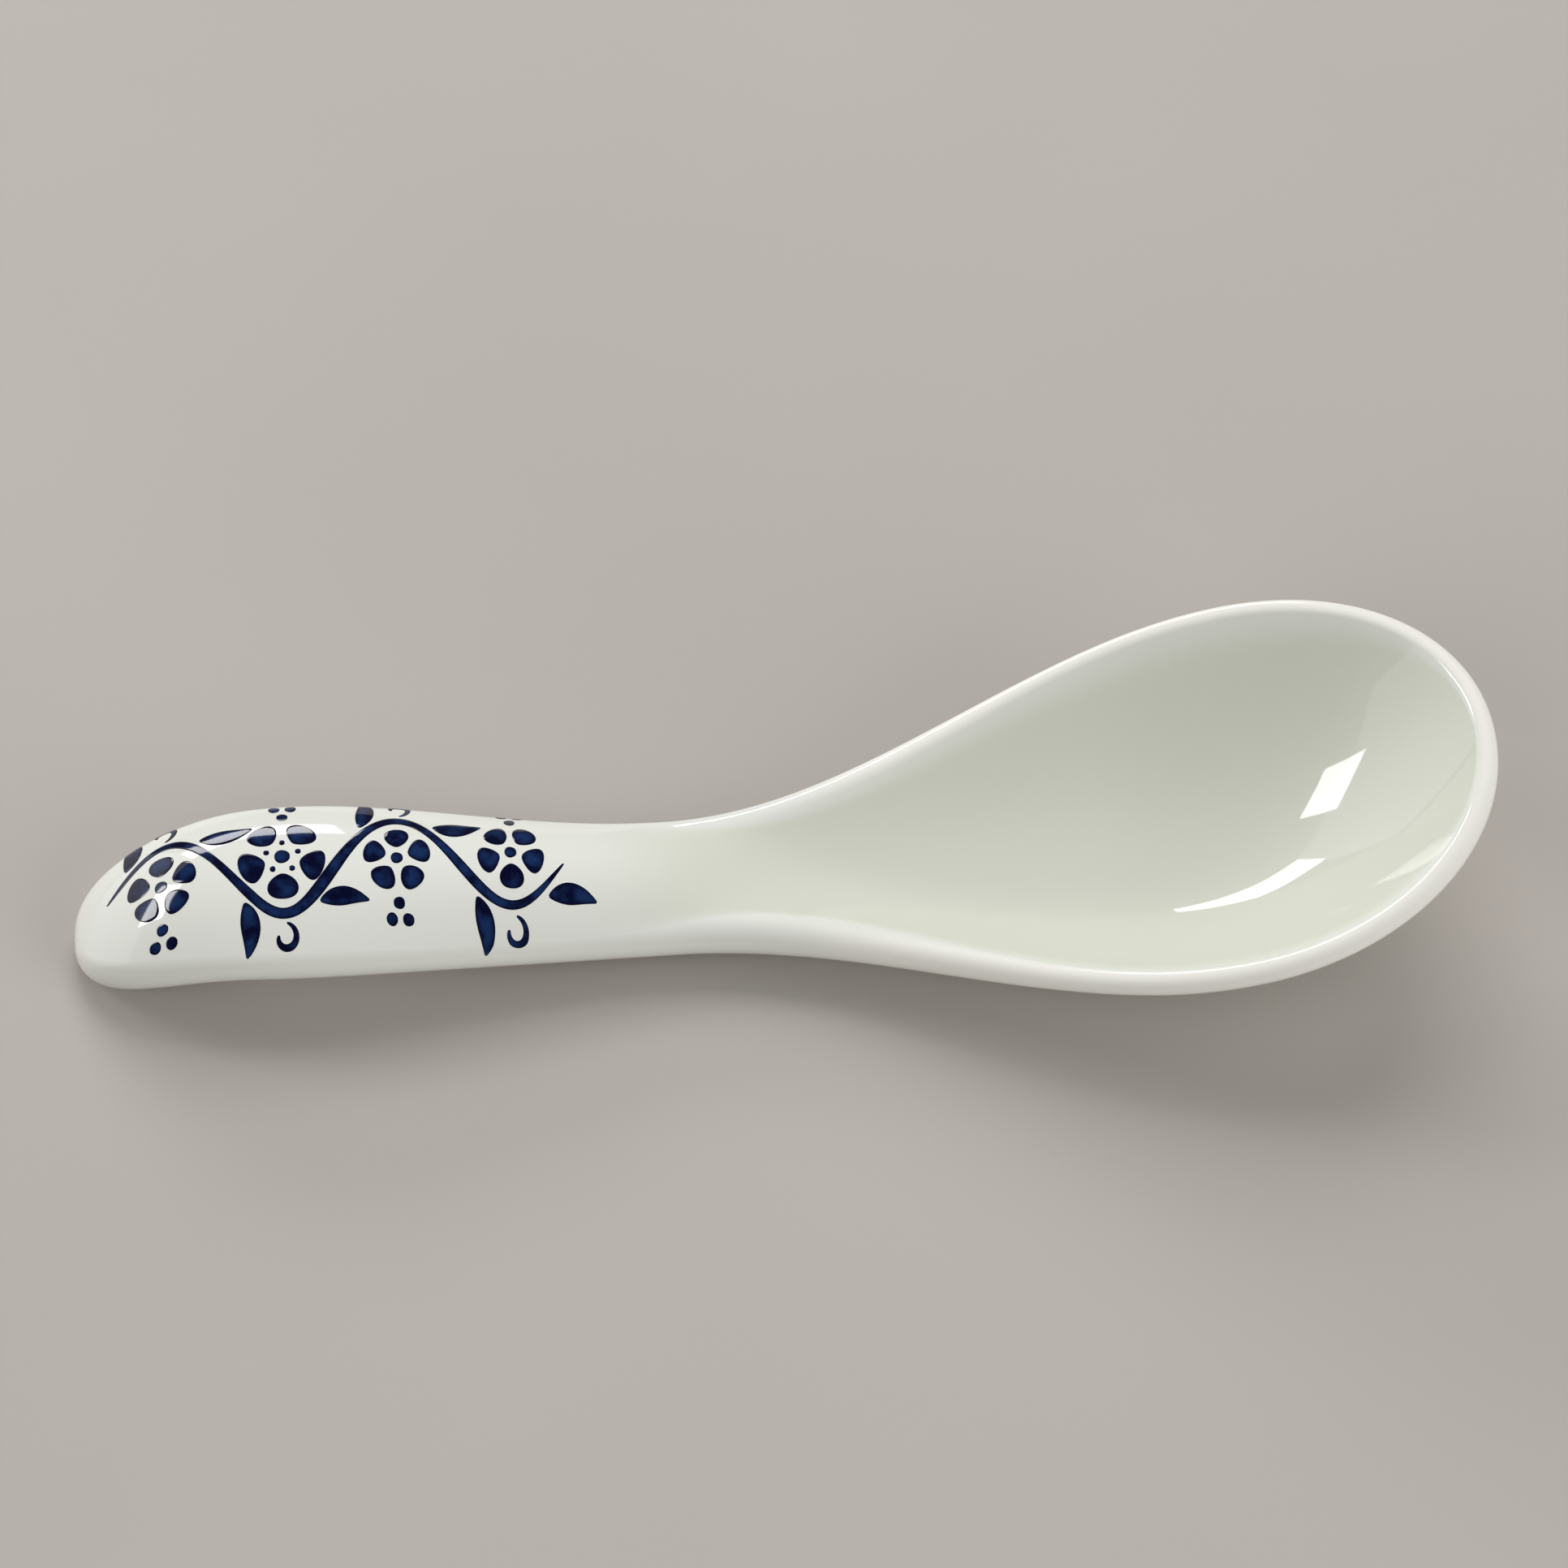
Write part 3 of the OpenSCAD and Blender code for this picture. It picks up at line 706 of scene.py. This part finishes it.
# Painted light: on the lip the tint turns whiter and warmer.
tint = blend(tree, fade(tree, depth, *RIM_FADE), tint, GLAZE_RIM_GLOW)
cells = node(tree, "ShaderNodeTexVoronoi", {"Vector": place, "Scale": SPECK_SCALE})
rare = node(tree, "ShaderNodeSeparateColor", {0: cells.outputs["Color"]}).outputs[0]
near = fade(tree, cells.outputs["Distance"], *SPECK_SIZE)
speck = product(tree, near, fade(tree, rare, *SPECK_RARITY))
tree.links.new(blend(tree, speck, tint, GLAZE_SPECK), shader.inputs["Base Color"])
wave = noise(tree, place, PEEL_SCALE, PEEL_DETAIL)
peel = node(tree, "ShaderNodeBump", {"Height": wave, "Strength": 1.0, "Distance": PEEL_HEIGHT})
tree.links.new(peel.outputs[0], shader.inputs["Normal"])
print("glaze finish has", len(tree.nodes), "nodes")

# %% [markdown]
# Bare fired clay is matt and a little warm, with a fine grain from the grinding wheel. Noise on
# two scales colours it: broad stains and fine grit. The grit also gives a shallow bump.

# %% Bare clay finish
CLAY_PALE, CLAY_STAINED = rgba(0.86, 0.84, 0.78), rgba(0.74, 0.70, 0.62)
CLAY_GRIT = rgba(0.62, 0.57, 0.48)
GRAIN_SCALE, GRAIN_DETAIL, GRAIN_FADE = 2600.0, 4.0, (0.55, 0.8)
STAIN_SCALE, STAIN_DETAIL, STAIN_FADE = 160.0, 2.0, (0.35, 0.7)
GRAIN_STRENGTH, GRAIN_HEIGHT = 0.6, 4e-5

tree, shader = start_finish("bare_clay", clay, Roughness=0.8)
place = object_place(tree)
grain = noise(tree, place, GRAIN_SCALE, GRAIN_DETAIL)
stain = noise(tree, place, STAIN_SCALE, STAIN_DETAIL)
dusty = blend(tree, fade(tree, stain, *STAIN_FADE), CLAY_PALE, CLAY_STAINED)
gritty = blend(tree, fade(tree, grain, *GRAIN_FADE), dusty, CLAY_GRIT)
tree.links.new(gritty, shader.inputs["Base Color"])
rough = node(tree, "ShaderNodeBump",
             {"Height": grain, "Strength": GRAIN_STRENGTH, "Distance": GRAIN_HEIGHT})
tree.links.new(rough.outputs[0], shader.inputs["Normal"])
print("clay finish has", len(tree.nodes), "nodes")

# %% [markdown]
# Cobalt is painted thickly, so it fires to a dark navy. It runs a little to the outline of each
# stroke and leaves the middle lighter, and a loaded brush is uneven along its way. The edge value
# of the mesh gives the first, and noise gives the second. It shines nearly as the glaze does.

# %% Cobalt finish
COBALT_DARK, COBALT_LIGHT = rgba(0.0003, 0.001, 0.021), rgba(0.007, 0.027, 0.105)
LOAD_SCALE, LOAD_DETAIL, LOAD_FADE = 520.0, 3.0, (0.36, 0.66)
MIDDLE_FADE = (0.85, 0.05)


def cobalt_finish(piece):
    """Navy outline and a lighter, uneven middle."""
    tree, shader = start_finish("cobalt_" + piece.name, piece, Roughness=0.06, IOR=GLASS_IOR)
    place = object_place(tree)
    edge = carried(tree, "edge")
    load = noise(tree, place, LOAD_SCALE, LOAD_DETAIL)
    middle = fade(tree, edge, *MIDDLE_FADE)
    thin = product(tree, middle, fade(tree, load, *LOAD_FADE))
    tree.links.new(blend(tree, thin, COBALT_DARK, COBALT_LIGHT), shader.inputs["Base Color"])
    print(piece.name, "painted with", len(tree.nodes), "nodes")


for painted in (vine, tendrils, leaves, large_blossom, small_blossoms, berries):
    cobalt_finish(painted)

# %% [markdown]
# The spoon stands on a plain pale floor. A slightly warm grey shows the white rim clearly, and a
# very faint cloudiness keeps the floor from looking cut out.

# %% Floor
FLOOR_HALF = 2000.0
FLOOR_DARK, FLOOR_PALE = rgba(0.50, 0.465, 0.43), rgba(0.53, 0.495, 0.46)
FLOOR_SCALE, FLOOR_DETAIL, FLOOR_FADE = 6.0, 4.0, (0.3, 0.7)

floor_mesh = bpy.data.meshes.new("floor")
floor_corners = np.array([[-1, -1, 0], [1, -1, 0], [1, 1, 0], [-1, 1, 0]]) * FLOOR_HALF * MM
floor_mesh.from_pydata(floor_corners.tolist(), [], [[0, 1, 2, 3]])
floor = bpy.data.objects.new("floor", floor_mesh)
bpy.context.scene.collection.objects.link(floor)
tree, shader = start_finish("floor", floor, Roughness=0.7)
cloud = noise(tree, object_place(tree), FLOOR_SCALE, FLOOR_DETAIL)
floor_colour = blend(tree, fade(tree, cloud, *FLOOR_FADE), FLOOR_DARK, FLOOR_PALE)
tree.links.new(floor_colour, shader.inputs["Base Color"])
print("floor is", 2 * FLOOR_HALF * MM, "m wide")

# %% [markdown]
# The light is a plain studio set in a dim room. The glaze mirrors two soft boxes, one at the left
# and one low behind the spoon, and very faintly a broad glow at the left. Four large fills light
# the spoon from all sides. The glaze doesn't mirror those, so its reflections stay few and clear.
# Each lamp is placed by its azimuth, from +Y towards +X, and its elevation, and it faces the spoon.

# %% Light
ROOM_COLOUR, ROOM_STRENGTH = rgba(1.0, 0.99, 0.97), 0.07
BOX_DISTANCE, GLOW_DISTANCE, FILL_DISTANCE = 1000, 1200, 1200
FILL_SIDE = 800

scene = bpy.context.scene
scene.view_settings.view_transform = "Standard"
world = bpy.data.worlds.new("room")
world.use_nodes = True
world.node_tree.nodes["Background"].inputs["Color"].default_value = ROOM_COLOUR
world.node_tree.nodes["Background"].inputs["Strength"].default_value = ROOM_STRENGTH
scene.world = world


def panel(name, azimuth, elevation, distance, width, height, radiance, mirrored=True):
    """Soft rectangular lamp facing the spoon; its power is pi times its area times its radiance."""
    lamp = bpy.data.lights.new(name, "AREA")
    lamp.shape = "RECTANGLE"
    lamp.size, lamp.size_y = width * MM, height * MM
    lamp.energy = math.pi * lamp.size * lamp.size_y * radiance
    box = bpy.data.objects.new(name, lamp)
    towards = view_direction(math.radians(azimuth), -math.radians(elevation))
    box.location = Vector(towards) * distance * MM
    box.rotation_euler = (-Vector(towards)).to_track_quat("-Z", "Y").to_euler()
    box.visible_glossy = mirrored
    scene.collection.objects.link(box)
    print(name, "gives", round(lamp.energy, 2), "W")


def fill(name, azimuth, elevation, radiance):
    """Large square panel that the glaze doesn't mirror."""
    panel(name, azimuth, elevation, FILL_DISTANCE, FILL_SIDE, FILL_SIDE, radiance, mirrored=False)


panel("left_box", -60.5, 29.4, BOX_DISTANCE, 300, 168, 11.0)
panel("back_box", -16.7, 20.5, BOX_DISTANCE, 570, 162, 8.0)
panel("left_glow", -62, 14, GLOW_DISTANCE, 1300, 560, 0.8)
fill("back_fill", 10, 52, 3.25)
fill("right_fill", 90, 45, 1.0)
fill("front_left_fill", -135, 40, 1.8)
fill("front_right_fill", 125, 20, 3.0)
